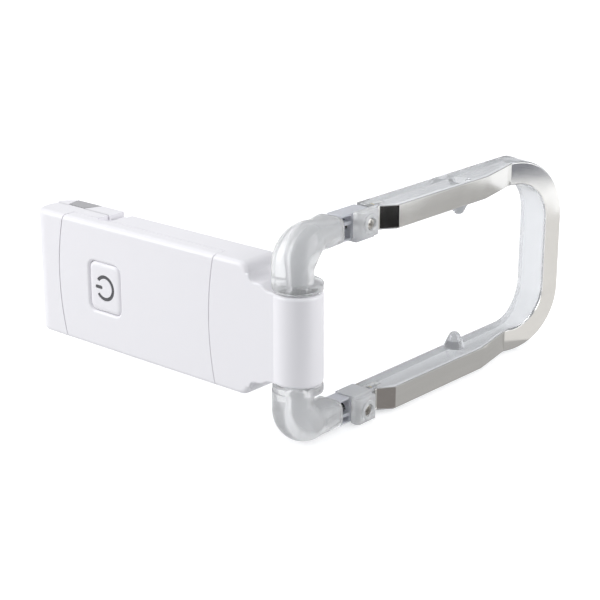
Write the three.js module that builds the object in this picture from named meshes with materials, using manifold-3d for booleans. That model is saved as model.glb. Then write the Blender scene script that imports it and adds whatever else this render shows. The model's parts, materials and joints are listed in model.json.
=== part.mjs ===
// A clip-on LED book light: a flat battery body with a spring clip and a power button, and a
// clear light-guide loop that turns on a vertical hinge barrel and folds around the body.
// Millimetres, +Z up along the hinge barrel, the body to -X and the open loop to +Y.
import * as THREE from "three";
import { mergeVertices } from "three/addons/utils/BufferGeometryUtils.js";
import Module from "manifold-3d";

const wasm = await Module();
wasm.setup();

// ---- Driving dimensions. Places are measured from the hinge axis at half the body's height. ----
const GAP = 0.3; // between neighbouring pieces

// Battery body
const BODY_HALF = 16.5; // half the height
const FRONT_Y = -5.2;
const REAR_Y = 6.8;
const PARTING_Y = -1.2; // between the front cover and the housing
const NOSE_X = -86;
const SHOULDER_X = -10.6; // right end of the full-height body
const NOSE_CORNER = 1.5;
const SHOULDER_CORNER = 3.2;
const NECK_HALF = 12.3;
const NECK_END_X = -6.6;
const SKIN = 1.4; // front and rear walls
const SIDE = 2.0; // top and bottom walls
const LEFT_SEAM_X = -76.3;
const LEFT_SEAM_R = 64;
const RIGHT_SEAM_X = -23.6;
const RIGHT_SEAM_R = 74;

// Hinge
const BARREL_R = 6;
const BARREL_HALF = 11.1;
const BORE_R = 4.2;
const FLANGE_TOP = 13.3;
const SPIGOT_R = 3.1;
const SPIGOT_LENGTH = 3.8;
const PASSAGE_R = 2.1; // for the leads

// Clip
const JAW_FACE_Y = 2.4;
const LEVER_Y = 2.7; // gripping side of the lever
const LEVER_BACK_Y = 7.2;
const LEVER_JAW_END_X = -64.7;
const THUMB_END_X = -41.2;
const THUMB_HALF = 11;
const THUMB_THICK = 1.6;
const PIN_X = -60.5;
const PIN_Y = 4.2;
const PIN_R = 0.7;
const SPRING_HALF = 3.6;
const JAW_MOUTH_X = -78; // where a page is gripped, and the part's origin

const RECESS_FLOOR_Y = 1.9; // under the thumb plate
const NUB_CHANNEL = { x0: -65.2, x1: -60.2, y0: -1.9, z: 15.3 };

// Button
const BUTTON_X = -59.6;
const BUTTON_W = 11;
const BUTTON_H = 12.9;
const BUTTON_CORNER = 2;

// Battery
const CELL_R = 10;
const CELL_T = 3.2;
const CELL_X = -26.6;
const DOOR = { x0: -38, x1: -14.2, half: 12.2, y: 5.6 };
const DOOR_SCREW_Z = 10.2;
const HOUSING_SCREW_X = -45;
const HOUSING_SCREW_Z = 13;
const SCREW_HEAD_R = 1.5;

// Loop
const LEG_IN = 20; // inner side of a leg, from the middle
const LEG_OUT = 26.3;
const LOOP_BACK_X = -2.8;
const LEG_START_Y = 24.3;
const LOOP_IN_END = 95.2;
const LOOP_OUT_END = 100.9;
const LOOP_IN_CORNER = 10.5;
const LOOP_OUT_CORNER = 16.5;
const END_LEAN = -0.3; // Y per X: how the far bar leans back
const MIRROR_T = 0.5;
const MIRROR_INSET = 0.35;
const NUB_Y = 62.6;
const NUB_X = 0;
const NUB_TIP = 15.9;

// Elbows and the LED blocks
const ELBOW_FOOT_R = 4.95;
const ELBOW_BEND_R = 5.8; // what the radius swells towards at the middle of the bend
const ELBOW_LEVEL_R = 3.85;
const ELBOW_WALL = 1.1;
const ELBOW_FOOT_X = -0.3;
const ELBOW_FOOT_Y = -1.45;
const ELBOW_BEND = 7.1;
const ELBOW_RISE_Z = 16.6;
const ELBOW_LEVEL_Z = 22.8;
const ELBOW_TIP = [-1, 12.6, 22.8];
const ELBOW_TIP_HALF_X = 4.25;
const ELBOW_TIP_HALF_Z = 3.3;
const ELBOW_TIP_SQUARENESS = 4.2; // 2 is an ellipse
const WIRE_PASSAGE_R = 1.85; // at the elbow's foot
const WIRE_PASSAGE_FLARE = 1.9;
const WIRE_PASSAGE_OFFSET = 1.45; // towards the hinge axis
const BLOCK_START_Y = 16.6;
const BLOCK_END_Y = 23.4;
const BLOCK_IN = 18.6;
const BLOCK_OUT = 26.6;
const PLATE_IN = 20.1; // inner edge of the cover's thick plate
const BLOCK_FRONT_X = 4.9;
const COVER_BACK_X = 2.3;
const SCREW_Y = 20.2;
const SCREW_Z = 23.4;
const LED_X = -0.6;
const LED_Z = 23.1;
const LED_R = 1.45;
const LED_TIP_Y = 31.5;

// The mirror's path from above, as [Y, X] along the front of the loop.
const MIRROR_LINE = [
  [26.6, 2.6], // end by the LED block
  [30.4, 5.5], // first facet
  [66.7, 6.0], // long facet
  [81.5, 3.2], // falls away
  [98.6, 8.7], // end facet, turned to face the LEDs
];

const SIDES = [1, -1]; // upper and lower
const SIDE_NAME = { 1: "upper", "-1": "lower" };

// ---- Finishes ----
function finish(color, roughness, metalness = 0, opacity = 1) {
  return new THREE.MeshStandardMaterial({
    color, roughness, metalness, opacity, transparent: opacity < 1,
  });
}
const FINISH = {
  white: () => finish(0xf2f1f6, 0.3),
  clear: () => finish(0xd4d8dd, 0.08, 0, 0.4),
  frosted: () => finish(0xe8eaee, 0.5),
  mirror: () => finish(0xacabaa, 0.25, 1),
  rubber: () => finish(0xa9a8ab, 0.85),
  steel: () => finish(0xb4b4b2, 0.35, 1),
  brass: () => finish(0xb8a068, 0.35, 1),
  board: () => finish(0x1f5a37, 0.6),
  black: () => finish(0x1b1b1d, 0.6),
  red: () => finish(0xb3202a, 0.5),
};

// ---- Solids ----
function toSolid(geometry) {
  const plain = geometry.index ? geometry.toNonIndexed() : geometry.clone();
  plain.deleteAttribute("normal");
  plain.deleteAttribute("uv");
  const merged = mergeVertices(plain, 1e-4);
  return new wasm.Manifold(new wasm.Mesh({
    numProp: 3,
    vertProperties: new Float32Array(merged.attributes.position.array),
    triVerts: new Uint32Array(merged.index.array),
  }));
}

function toGeometry(solid) {
  const mesh = solid.getMesh();
  const geometry = new THREE.BufferGeometry();
  geometry.setAttribute("position", new THREE.BufferAttribute(mesh.vertProperties, 3));
  geometry.setIndex(new THREE.BufferAttribute(mesh.triVerts, 1));
  geometry.computeVertexNormals();
  return geometry;
}

// A box between two corners; the heights may come in either order.
function box(x0, x1, y0, y1, z0, z1) {
  const geometry = new THREE.BoxGeometry(x1 - x0, y1 - y0, Math.abs(z1 - z0));
  geometry.translate((x0 + x1) / 2, (y0 + y1) / 2, (z0 + z1) / 2);
  return toSolid(geometry);
}

// Upright rod about (x, y).
function rodZ(x, y, radius, z0, z1, sides = 24) {
  const geometry = new THREE.CylinderGeometry(radius, radius, z1 - z0, sides);
  geometry.rotateX(Math.PI / 2);
  geometry.translate(x, y, (z0 + z1) / 2);
  return toSolid(geometry);
}

function rodY(x, z, radius, y0, y1, sides = 20) {
  const geometry = new THREE.CylinderGeometry(radius, radius, y1 - y0, sides);
  geometry.translate(x, (y0 + y1) / 2, z);
  return toSolid(geometry);
}

function rodX(y, z, radius, x0, x1, sides = 20) {
  const geometry = new THREE.CylinderGeometry(radius, radius, x1 - x0, sides);
  geometry.rotateZ(Math.PI / 2);
  geometry.translate((x0 + x1) / 2, y, z);
  return toSolid(geometry);
}

// A ring about the Z axis, from radius r0 to r1; the heights may come in either order.
function ringZ(r0, r1, z0, z1, sides = 40) {
  const [low, high] = [Math.min(z0, z1), Math.max(z0, z1)];
  const profile = [[r0, low], [r1, low], [r1, high], [r0, high], [r0, low]];
  const geometry = new THREE.LatheGeometry(profile.map(([r, z]) => new THREE.Vector2(r, z)), sides);
  geometry.rotateX(Math.PI / 2);
  return toSolid(geometry);
}

const extrude = (shape, depth, steps = 8) =>
  new THREE.ExtrudeGeometry(shape, { depth, bevelEnabled: false, curveSegments: steps });

// A plan outline (X, Y) between two heights.
function prismZ(shape, z0, z1, steps) {
  const geometry = extrude(shape, z1 - z0, steps);
  geometry.translate(0, 0, z0);
  return toSolid(geometry);
}

// A front outline (X, Z) between two depths.
function prismY(shape, y0, y1, steps) {
  const geometry = extrude(shape, y1 - y0, steps);
  geometry.rotateX(Math.PI / 2);
  geometry.translate(0, y1, 0);
  return toSolid(geometry);
}

// A side outline (Y, Z) between two X places; lean shifts Y as X grows.
function prismX(shape, x0, x1, steps, lean = 0) {
  const geometry = extrude(shape, x1 - x0, steps);
  const place = new THREE.Matrix4().makeBasis(
    new THREE.Vector3(0, 1, 0), new THREE.Vector3(0, 0, 1), new THREE.Vector3(1, lean, 0));
  geometry.applyMatrix4(place);
  geometry.translate(x0, lean * x0, 0);
  return toSolid(geometry);
}

function polygon(points) {
  return new THREE.Shape(points.map(([a, b]) => new THREE.Vector2(a, b)));
}

function roundedRect(cx, cy, width, height, radius) {
  const shape = new THREE.Shape();
  const [x0, x1, y0, y1] = [cx - width / 2, cx + width / 2, cy - height / 2, cy + height / 2];
  shape.moveTo(x0 + radius, y0);
  shape.lineTo(x1 - radius, y0);
  shape.absarc(x1 - radius, y0 + radius, radius, -Math.PI / 2, 0);
  shape.lineTo(x1, y1 - radius);
  shape.absarc(x1 - radius, y1 - radius, radius, 0, Math.PI / 2);
  shape.lineTo(x0 + radius, y1);
  shape.absarc(x0 + radius, y1 - radius, radius, Math.PI / 2, Math.PI);
  shape.lineTo(x0, y0 + radius);
  shape.absarc(x0 + radius, y0 + radius, radius, Math.PI, Math.PI * 1.5);
  return shape;
}

// A round tube or wire along points; a wall makes it hollow.
function tube(points, radius, { wall = 0, sides = 8, steps = 20, tension = 0.5 } = {}) {
  const section = new THREE.Shape();
  section.absarc(0, 0, radius, 0, Math.PI * 2);
  if (wall) {
    const inside = new THREE.Path();
    inside.absarc(0, 0, radius - wall, 0, Math.PI * 2, true);
    section.holes.push(inside);
  }
  const path = new THREE.CatmullRomCurve3(
    points.map((p) => new THREE.Vector3(...p)), false, "catmullrom", tension);
  return toSolid(new THREE.ExtrudeGeometry(section,
    { steps, curveSegments: sides / 2, bevelEnabled: false, extrudePath: path }));
}

// Points around a closed section that is an ellipse at squareness 2 and nearly a box at 5.
function superellipse(halfWidth, halfHeight, squareness, sides) {
  const bend = (value) => Math.sign(value) * Math.abs(value) ** (2 / squareness);
  return Array.from({ length: sides }, (_, i) => {
    const angle = (2 * Math.PI * (i + 0.5)) / sides;
    return [halfWidth * bend(Math.cos(angle)), halfHeight * bend(Math.sin(angle))];
  });
}

// A solid skinned over convex rings of equal length, with flat ends.
function skinned(rings) {
  const count = rings[0].length;
  const index = [];
  for (let r = 0; r < rings.length - 1; r += 1) {
    for (let i = 0; i < count; i += 1) {
      const [a, b] = [r * count + i, r * count + ((i + 1) % count)];
      index.push(a, b, b + count, a, b + count, a + count);
    }
  }
  const end = (rings.length - 1) * count;
  for (let i = 1; i < count - 1; i += 1) {
    index.push(0, i + 1, i, end, end + i, end + i + 1);
  }
  const geometry = new THREE.BufferGeometry();
  geometry.setAttribute("position", new THREE.Float32BufferAttribute(rings.flat(2), 3));
  geometry.setIndex(index);
  return toSolid(geometry);
}

// ---- The model: one named mesh for each piece ----
const group = new THREE.Group();
const light = new THREE.Group();
light.position.set(-JAW_MOUTH_X, -JAW_FACE_Y, 0); // the origin is in the clip's mouth
group.add(light);

function add(name, solid, material) {
  const mesh = new THREE.Mesh(toGeometry(solid), material());
  mesh.name = name;
  light.add(mesh);
}

// ---- Battery body ----

// X of a bowed seam at height z.
const seamX = (x, radius, z) => x + radius - Math.sqrt(radius * radius - z * z);

// The front cover's outline between the two bowed seams, grown by a clearance.
function coverOutline(grow, half) {
  const steps = 10;
  const points = [];
  for (let i = 0; i <= steps; i += 1) {
    const z = half - (2 * half * i) / steps;
    points.push([seamX(LEFT_SEAM_X, LEFT_SEAM_R, z) - grow, z]);
  }
  for (let i = 0; i <= steps; i += 1) {
    const z = -half + (2 * half * i) / steps;
    points.push([seamX(RIGHT_SEAM_X, RIGHT_SEAM_R, z) + grow, z]);
  }
  return polygon(points);
}

// The body seen from above, with its rounded nose.
function bodyPlan() {
  const plan = new THREE.Shape();
  plan.moveTo(NOSE_X + 3.4, FRONT_Y);
  plan.lineTo(SHOULDER_X, FRONT_Y);
  plan.lineTo(SHOULDER_X, REAR_Y);
  plan.lineTo(NOSE_X + 5, REAR_Y);
  plan.quadraticCurveTo(NOSE_X + 0.6, 4.4, NOSE_X, 0.4);
  plan.quadraticCurveTo(NOSE_X, FRONT_Y + 1, NOSE_X + 3.4, FRONT_Y);
  return plan;
}

const buttonHole = roundedRect(BUTTON_X, 0, BUTTON_W + 2 * GAP, BUTTON_H + 2 * GAP, BUTTON_CORNER + GAP);

// The shallow channel that a nub slides in as the loop folds around the body.
function nubChannel(side) {
  return box(NUB_CHANNEL.x0, NUB_CHANNEL.x1, NUB_CHANNEL.y0, REAR_Y + 2,
    side * NUB_CHANNEL.z, side * (BODY_HALF + 1));
}

function frontCover() {
  const inner = BODY_HALF - SIDE;
  return prismY(coverOutline(0, BODY_HALF), FRONT_Y, PARTING_Y)
    .subtract(box(NOSE_X, 0, FRONT_Y + SKIN, PARTING_Y + 1, -inner, inner))
    .subtract(prismY(buttonHole, FRONT_Y - 1, PARTING_Y, 4))
    .subtract(nubChannel(1))
    .subtract(nubChannel(-1));
}

function housing() {
  const inner = BODY_HALF - SIDE;
  const length = SHOULDER_X - NOSE_X;
  const nose = roundedRect(SHOULDER_X, 0, 2 * length, 2 * BODY_HALF, NOSE_CORNER);
  const shoulder = roundedRect(NOSE_X, 0, 2 * length, 2 * BODY_HALF, SHOULDER_CORNER);
  let solid = prismZ(bodyPlan(), -BODY_HALF, BODY_HALF, 5)
    .intersect(prismY(nose, FRONT_Y - 1, REAR_Y + 1, 5))
    .intersect(prismY(shoulder, FRONT_Y - 1, REAR_Y + 1, 5))
    .add(box(SHOULDER_X - 1, NECK_END_X, FRONT_Y, BARREL_R, -NECK_HALF, NECK_HALF))
    .add(box(NECK_END_X - 1, 0, FRONT_Y, BARREL_R, -BARREL_HALF, BARREL_HALF))
    .add(rodZ(0, 0, BARREL_R, -BARREL_HALF, BARREL_HALF, 40));
  // Front opening, thin bay for the circuit board, deep bay for the cells
  solid = solid
    .subtract(prismY(coverOutline(GAP, BODY_HALF + 1), FRONT_Y - 1, PARTING_Y + GAP))
    .subtract(box(-81, -36.8, FRONT_Y + SKIN, 0.4, -inner, inner))
    .subtract(box(-37.6, -14.5, FRONT_Y + SKIN, REAR_Y - 2 * SKIN, -inner, inner));
  // Battery door: a step for its edge and the well behind it
  solid = solid
    .subtract(box(DOOR.x0 - GAP, DOOR.x1 + GAP, DOOR.y - GAP, REAR_Y + 1, -DOOR.half - GAP, DOOR.half + GAP))
    .subtract(box(-36.8, -15.6, 0, REAR_Y, -10.6, 10.6));
  // Room for the clip's jaw, its thumb plate and its pin
  solid = solid
    .subtract(box(NOSE_X - 1, -64, JAW_FACE_Y, REAR_Y + 2, -BODY_HALF - 1, BODY_HALF + 1))
    .subtract(box(-65, THUMB_END_X + 0.6, RECESS_FLOOR_Y, REAR_Y + 1, -THUMB_HALF - GAP, THUMB_HALF + GAP))
    .subtract(rodZ(PIN_X, PIN_Y, PIN_R + GAP, -13.6, 13.6, 12))
    .subtract(box(-82.4, -67.6, JAW_FACE_Y - 1.1, JAW_FACE_Y + 1, -13.3, 13.3));
  // Detent channels for the loop's nubs
  for (const side of SIDES) {
    solid = solid.subtract(nubChannel(side));
  }
  // Hinge bore and the leads' passage into it
  solid = solid
    .subtract(rodZ(0, 0, BORE_R, -BARREL_HALF - 1, BARREL_HALF + 1, 40))
    .subtract(box(-16, -1, -1.6, 1.6, -2.4, 2.4));
  for (const side of SIDES) {
    const z = side * HOUSING_SCREW_Z;
    solid = solid
      .subtract(rodY(HOUSING_SCREW_X, z, SCREW_HEAD_R + GAP, REAR_Y - 2.2, REAR_Y + 1, 16))
      .subtract(rodY(HOUSING_SCREW_X, z, 1, -2, REAR_Y, 12));
  }
  return solid.subtract(rodY(CELL_X, DOOR_SCREW_Z, 1, 2.6, REAR_Y, 12));
}

// A pan-head screw along Y with its head at the rear, cross-slotted.
function screwY(x, z, headTop, tip) {
  return rodY(x, z, SCREW_HEAD_R, headTop - 0.9, headTop, 16)
    .add(rodY(x, z, PIN_R, tip, headTop - 0.7, 12))
    .subtract(box(x - 0.9, x + 0.9, headTop - 0.5, headTop + 1, z - 0.2, z + 0.2))
    .subtract(box(x - 0.2, x + 0.2, headTop - 0.5, headTop + 1, z - 0.9, z + 0.9));
}

function batteryDoor() {
  return box(DOOR.x0, DOOR.x1, DOOR.y, REAR_Y, -DOOR.half, DOOR.half)
    .subtract(rodY(CELL_X, DOOR_SCREW_Z, 1, DOOR.y - 1, REAR_Y + 1, 12))
    .subtract(rodY(CELL_X, DOOR_SCREW_Z, SCREW_HEAD_R + GAP, REAR_Y - 0.7, REAR_Y + 1, 20));
}

add("front_cover", frontCover(), FINISH.white);
add("rear_housing", housing(), FINISH.white);
add("battery_door", batteryDoor(), FINISH.white);
add("door_screw", screwY(CELL_X, DOOR_SCREW_Z, REAR_Y + 0.5, 3), FINISH.steel);
for (const side of SIDES) {
  const screw = screwY(HOUSING_SCREW_X, side * HOUSING_SCREW_Z, REAR_Y - 0.7, 1);
  add(`housing_screw_${SIDE_NAME[side]}`, screw, FINISH.steel);
}

// ---- Power button and circuit board ----
const BOARD_Y = -0.7;
const BUTTON_FACE_Y = FRONT_Y + 0.15;

function powerButton() {
  const cap = roundedRect(BUTTON_X, 0, BUTTON_W, BUTTON_H, BUTTON_CORNER);
  const rim = roundedRect(BUTTON_X, 0, BUTTON_W + 2, BUTTON_H + 2, BUTTON_CORNER + 1);
  return prismY(cap, BUTTON_FACE_Y, FRONT_Y + SKIN + 0.5, 5)
    .add(prismY(rim, FRONT_Y + SKIN + 0.3, FRONT_Y + SKIN + 1, 4));
}

function tactSwitch() {
  const half = 3;
  return box(BUTTON_X - half, BUTTON_X + half, -1.7, BOARD_Y - 0.2, -half, half)
    .add(rodY(BUTTON_X, 0, 1.6, -2.15, -1.6, 16));
}

function chip(x, z, width, height) {
  return box(x - width / 2, x + width / 2, -1.6, BOARD_Y - 0.2, z - height / 2, z + height / 2);
}

add("power_button", powerButton(), FINISH.white);
add("circuit_board", box(-78, -38, BOARD_Y, 0.1, -12.5, 12.5), FINISH.board);
add("power_switch", tactSwitch(), FINISH.black);
add("driver_chip", chip(-48, 5, 5, 4), FINISH.black);
add("limit_resistor", chip(-48, -5, 3.2, 1.6), FINISH.black);

// ---- Coin cells, stacked behind the door ----
const STACK_Y = -3.3;

// A coin cell: a can with the smaller minus face stepped in on top.
function coinCell(y) {
  return rodY(CELL_X, 0, CELL_R, y, y + CELL_T - 0.4, 36)
    .add(rodY(CELL_X, 0, CELL_R - 1.4, y + CELL_T - 0.6, y + CELL_T, 30));
}

// A flat strip with a tab turned at one end.
function minusContact() {
  return box(CELL_X - 8, CELL_X + 8, 4, 4.3, -2.5, 2.5)
    .add(box(CELL_X - 10.2, CELL_X - 7.7, 4, 4.3, -1.2, 1.2));
}

function plusContact() {
  const x = CELL_X - CELL_R - 0.3;
  return box(x - 0.3, x, -3, 3, 6.2, 10)
    .add(box(x - 0.3, x + 2.6, -3, 3, 9.7, 10));
}

for (const [index, name] of ["coin_cell_front", "coin_cell_rear"].entries()) {
  add(name, coinCell(STACK_Y + index * (CELL_T + GAP)), FINISH.steel);
}
add("minus_contact", minusContact(), FINISH.brass);
add("plus_contact", plusContact(), FINISH.brass);

// ---- Clip: lever, rubber lip, pin and spring ----
const LIP = [[-82, LEVER_BACK_Y], [-80.4, LEVER_Y], [-75.2, LEVER_Y], [-72.6, LEVER_BACK_Y]];
const WEB = { x0: -83, x1: -71, y0: 4.6, y1: 6.4, half: 13 };
const KNUCKLE_R = 2;

function leverPlan() {
  const plan = new THREE.Shape();
  plan.moveTo(LEVER_JAW_END_X, LEVER_Y);
  plan.lineTo(LEVER_JAW_END_X, LEVER_BACK_Y);
  plan.lineTo(-81.4, LEVER_BACK_Y);
  plan.quadraticCurveTo(-84.4, 5.6, -85.2, 3.4);
  plan.lineTo(-84.6, LEVER_Y);
  plan.closePath();
  return plan;
}

function clipLever() {
  const web = box(WEB.x0, WEB.x1, WEB.y0, WEB.y1, -WEB.half, WEB.half);
  const pocket = polygon([[-82.6, 8], [-80.4, LEVER_Y - 1], [-74.3, LEVER_Y - 1], [-71.8, 8]]);
  const lip = prismZ(pocket, -BODY_HALF - 1, BODY_HALF + 1).subtract(web);
  return prismZ(leverPlan(), -BODY_HALF, BODY_HALF, 5)
    .subtract(lip)
    .add(box(LEVER_JAW_END_X - 1, THUMB_END_X, REAR_Y - THUMB_THICK, REAR_Y, -THUMB_HALF, THUMB_HALF))
    .add(rodZ(PIN_X, PIN_Y, KNUCKLE_R, -THUMB_HALF, THUMB_HALF, 24))
    .subtract(rodZ(PIN_X, PIN_Y, PIN_R + GAP, -THUMB_HALF - 1, THUMB_HALF + 1, 16))
    .subtract(box(PIN_X - 2.6, PIN_X + 2.6, 0, 5.9, -SPRING_HALF - GAP, SPRING_HALF + GAP));
}

function clipLip() {
  const slot = box(WEB.x0, WEB.x1 + 1, WEB.y0 - GAP, WEB.y1 + GAP, -WEB.half - GAP, WEB.half + GAP);
  return prismZ(polygon(LIP), -BODY_HALF, BODY_HALF).subtract(slot);
}

// Torsion spring: a helix about the pin.
function clipSpring() {
  const turns = 6;
  const perTurn = 10;
  const coilR = PIN_R + 0.55;
  const points = [];
  for (let i = 0; i <= turns * perTurn; i += 1) {
    const angle = (2 * Math.PI * i) / perTurn;
    const z = -SPRING_HALF + 0.4 + ((2 * SPRING_HALF - 0.8) * i) / (turns * perTurn);
    points.push([PIN_X + coilR * Math.cos(angle), PIN_Y + coilR * Math.sin(angle), z]);
  }
  return tube(points, 0.22, { sides: 6, steps: turns * perTurn });
}

add("clip_lever", clipLever(), FINISH.white);
add("clip_lip", clipLip(), FINISH.rubber);
add("jaw_pad", box(-82.1, -67.9, JAW_FACE_Y - 0.8, JAW_FACE_Y, -13, 13), FINISH.rubber);
add("clip_pin", rodZ(PIN_X, PIN_Y, PIN_R, -13.3, 13.3, 12), FINISH.steel);
add("clip_spring", clipSpring(), FINISH.steel);

// ---- Light-guide loop and mirror ----

// The U of the loop from the side (Y, Z), between its outer and inner edges.
function loopOutline(startY, inset) {
  const out = LEG_OUT - inset;
  const inner = LEG_IN + inset;
  const outEnd = LOOP_OUT_END - inset;
  const inEnd = LOOP_IN_END + inset;
  const outR = LOOP_OUT_CORNER - inset;
  const inR = LOOP_IN_CORNER + inset;
  const shape = new THREE.Shape();
  shape.moveTo(startY, -out);
  shape.lineTo(outEnd - outR, -out);
  shape.absarc(outEnd - outR, -out + outR, outR, -Math.PI / 2, 0);
  shape.lineTo(outEnd, out - outR);
  shape.absarc(outEnd - outR, out - outR, outR, 0, Math.PI / 2);
  shape.lineTo(startY, out);
  shape.lineTo(startY, inner);
  shape.lineTo(inEnd - inR, inner);
  shape.absarc(inEnd - inR, inner - inR, inR, Math.PI / 2, 0, true);
  shape.lineTo(inEnd, -inner + inR);
  shape.absarc(inEnd - inR, -inner + inR, inR, 0, -Math.PI / 2, true);
  shape.lineTo(startY, -inner);
  shape.closePath();
  return shape;
}

// The band, seen from above, between two depths under the mirror's face.
function underMirror(shallow, deep) {
  const [firstY, firstX] = MIRROR_LINE[0];
  const [lastY, lastX] = MIRROR_LINE.at(-1);
  const face = [[LEG_START_Y - 1, firstX], ...MIRROR_LINE, [lastY + 8, lastX + 2.6]];
  const front = face.map(([y, x]) => [x - shallow, y]);
  const back = face.map(([y, x]) => [x - deep, y]).reverse();
  return prismZ(polygon([...front, ...back]), -LEG_OUT - 1, LEG_OUT + 1);
}

// An inward nub, which snaps into the body's channel when the loop is folded.
function nub(side) {
  const profile = [[0, 0], [3.1, 0], [2.5, 1.4], [1.7, 3.1], [1.3, 4], [0.7, 4.5], [0, 4.6]];
  const points = profile.map(([r, z]) => new THREE.Vector2(r, z));
  const geometry = new THREE.LatheGeometry(points, 20);
  geometry.rotateX(side > 0 ? -Math.PI / 2 : Math.PI / 2);
  geometry.translate(NUB_X, NUB_Y, side * (NUB_TIP + 4.6));
  return toSolid(geometry);
}

function lightLoop() {
  let loop = prismX(loopOutline(LEG_START_Y, 0), LOOP_BACK_X, 12, 8, END_LEAN)
    .intersect(underMirror(MIRROR_T + GAP, 20));
  for (const side of SIDES) {
    loop = loop.add(nub(side))
      .subtract(rodY(LED_X, side * LED_Z, LED_R + GAP, LEG_START_Y - 2, LED_TIP_Y + 1, 16));
  }
  return loop;
}

function mirrorStrip() {
  return prismX(loopOutline(MIRROR_LINE[0][0], MIRROR_INSET), LOOP_BACK_X, 12, 8, END_LEAN)
    .intersect(underMirror(0, MIRROR_T));
}

add("light_loop", lightLoop(), FINISH.clear);
add("mirror_strip", mirrorStrip(), FINISH.mirror);

// ---- Hinge elbows, LED blocks and leads ----
// Sections along an elbow from its disc to its end: center, heading in the YZ plane, half width,
// half height and squareness.
function elbowStations() {
  const bendY = ELBOW_FOOT_Y + ELBOW_BEND;
  const foot = [ELBOW_FOOT_X, ELBOW_FOOT_Y, FLANGE_TOP - 0.4];
  const stations = [[foot, Math.PI / 2, ELBOW_FOOT_R, ELBOW_FOOT_R, 2]];
  const steps = 9;
  for (let i = 0; i <= steps; i += 1) {
    const t = i / steps;
    const turn = (Math.PI / 2) * t;
    const radius = (1 - t) ** 2 * ELBOW_FOOT_R + 2 * t * (1 - t) * ELBOW_BEND_R + t ** 2 * ELBOW_LEVEL_R;
    const center = [ELBOW_FOOT_X * (1 - t), bendY - ELBOW_BEND * Math.cos(turn),
      ELBOW_RISE_Z + (ELBOW_LEVEL_Z - ELBOW_RISE_Z) * Math.sin(turn)];
    stations.push([center, Math.PI / 2 - turn, radius, radius, 2]);
  }
  stations.push([ELBOW_TIP, 0, ELBOW_TIP_HALF_X, ELBOW_TIP_HALF_Z, ELBOW_TIP_SQUARENESS]);
  return stations;
}

// The elbow's outside, or the wire passage through it, as a solid skinned over its sections.
function elbowCore(side, isPassage) {
  const stations = elbowStations();
  const last = stations.length - 1;
  const rings = stations.map(([center, heading, halfX, halfZ, squareness], i) => {
    const across = [0, -Math.sin(heading), Math.cos(heading)];
    const along = [0, Math.cos(heading), Math.sin(heading)];
    const part = i / last;
    const shift = isPassage ? -WIRE_PASSAGE_OFFSET * (1 - part) : 0;
    const overrun = isPassage ? { 0: -0.3, [last]: 0.3 }[i] ?? 0 : 0;
    const widest = isPassage ? WIRE_PASSAGE_R + WIRE_PASSAGE_FLARE * part : Infinity;
    const wall = isPassage ? ELBOW_WALL : 0;
    const [width, height] = [halfX, halfZ].map((half) => Math.min(half - wall, widest));
    return superellipse(width, height, squareness, 20).map(([u, v]) => {
      const [x, y, z] = [0, 1, 2].map(
        (k) => center[k] + across[k] * (shift + v) + along[k] * overrun + (k === 0 ? u : 0));
      return [x, y, side * z];
    });
  });
  return skinned(side > 0 ? rings.reverse() : rings);
}

function elbow(side) {
  const spigotEnd = BARREL_HALF - SPIGOT_LENGTH;
  return elbowCore(side, false)
    .add(ringZ(PASSAGE_R, BARREL_R, side * (BARREL_HALF + GAP), side * FLANGE_TOP))
    .add(ringZ(PASSAGE_R, SPIGOT_R, side * spigotEnd, side * FLANGE_TOP, 24))
    .subtract(elbowCore(side, true));
}

// White carrier for the LED, with stepped ledges at its hinge end.
function ledCarrier(side) {
  let carrier = box(-2.5, 2, ELBOW_TIP[1] + GAP, BLOCK_END_Y - GAP, side * 20.3, side * 26);
  for (const z of [21.4, 23.6, 25]) {
    carrier = carrier.subtract(box(1, 3, 12, BLOCK_START_Y - GAP, side * z, side * (z + 0.7)));
  }
  return carrier
    .subtract(rodY(LED_X, side * LED_Z, LED_R + 0.2, 12, BLOCK_END_Y, 16))
    .subtract(rodX(SCREW_Y, side * SCREW_Z, 0.9, 1.3, 4, 12));
}

// Clear cover screwed over the carrier, with a lip under the leg.
function ledCover(side) {
  const slope = 1;
  const plan = polygon([[COVER_BACK_X, BLOCK_START_Y], [BLOCK_FRONT_X - slope, BLOCK_START_Y],
    [BLOCK_FRONT_X, BLOCK_START_Y + slope], [BLOCK_FRONT_X, BLOCK_END_Y], [COVER_BACK_X, BLOCK_END_Y]]);
  const [low, high] = side > 0 ? [PLATE_IN, BLOCK_OUT] : [-BLOCK_OUT, -PLATE_IN];
  return prismZ(plan, low, high)
    .add(box(-2.5, COVER_BACK_X + 1.3, BLOCK_START_Y, BLOCK_END_Y, side * BLOCK_IN, side * 20))
    .add(box(COVER_BACK_X, COVER_BACK_X + 1.3, BLOCK_START_Y, BLOCK_END_Y, side * 19.5, side * (PLATE_IN + 0.5)))
    .subtract(rodX(SCREW_Y, side * SCREW_Z, SCREW_HEAD_R + GAP, 4.2, 8, 20))
    .subtract(rodX(SCREW_Y, side * SCREW_Z, 0.9, 1, 5, 12));
}

// Pan-head screw along X.
function coverScrew(side) {
  const z = side * SCREW_Z;
  const top = BLOCK_FRONT_X + 0.2;
  return rodX(SCREW_Y, z, SCREW_HEAD_R, top - 0.9, top, 20)
    .add(rodX(SCREW_Y, z, 0.6, 1.6, top - 0.5, 12))
    .subtract(box(top - 0.5, top + 1, SCREW_Y - 1, SCREW_Y + 1, z - 0.2, z + 0.2))
    .subtract(box(top - 0.5, top + 1, SCREW_Y - 0.2, SCREW_Y + 0.2, z - 1, z + 1));
}

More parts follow.
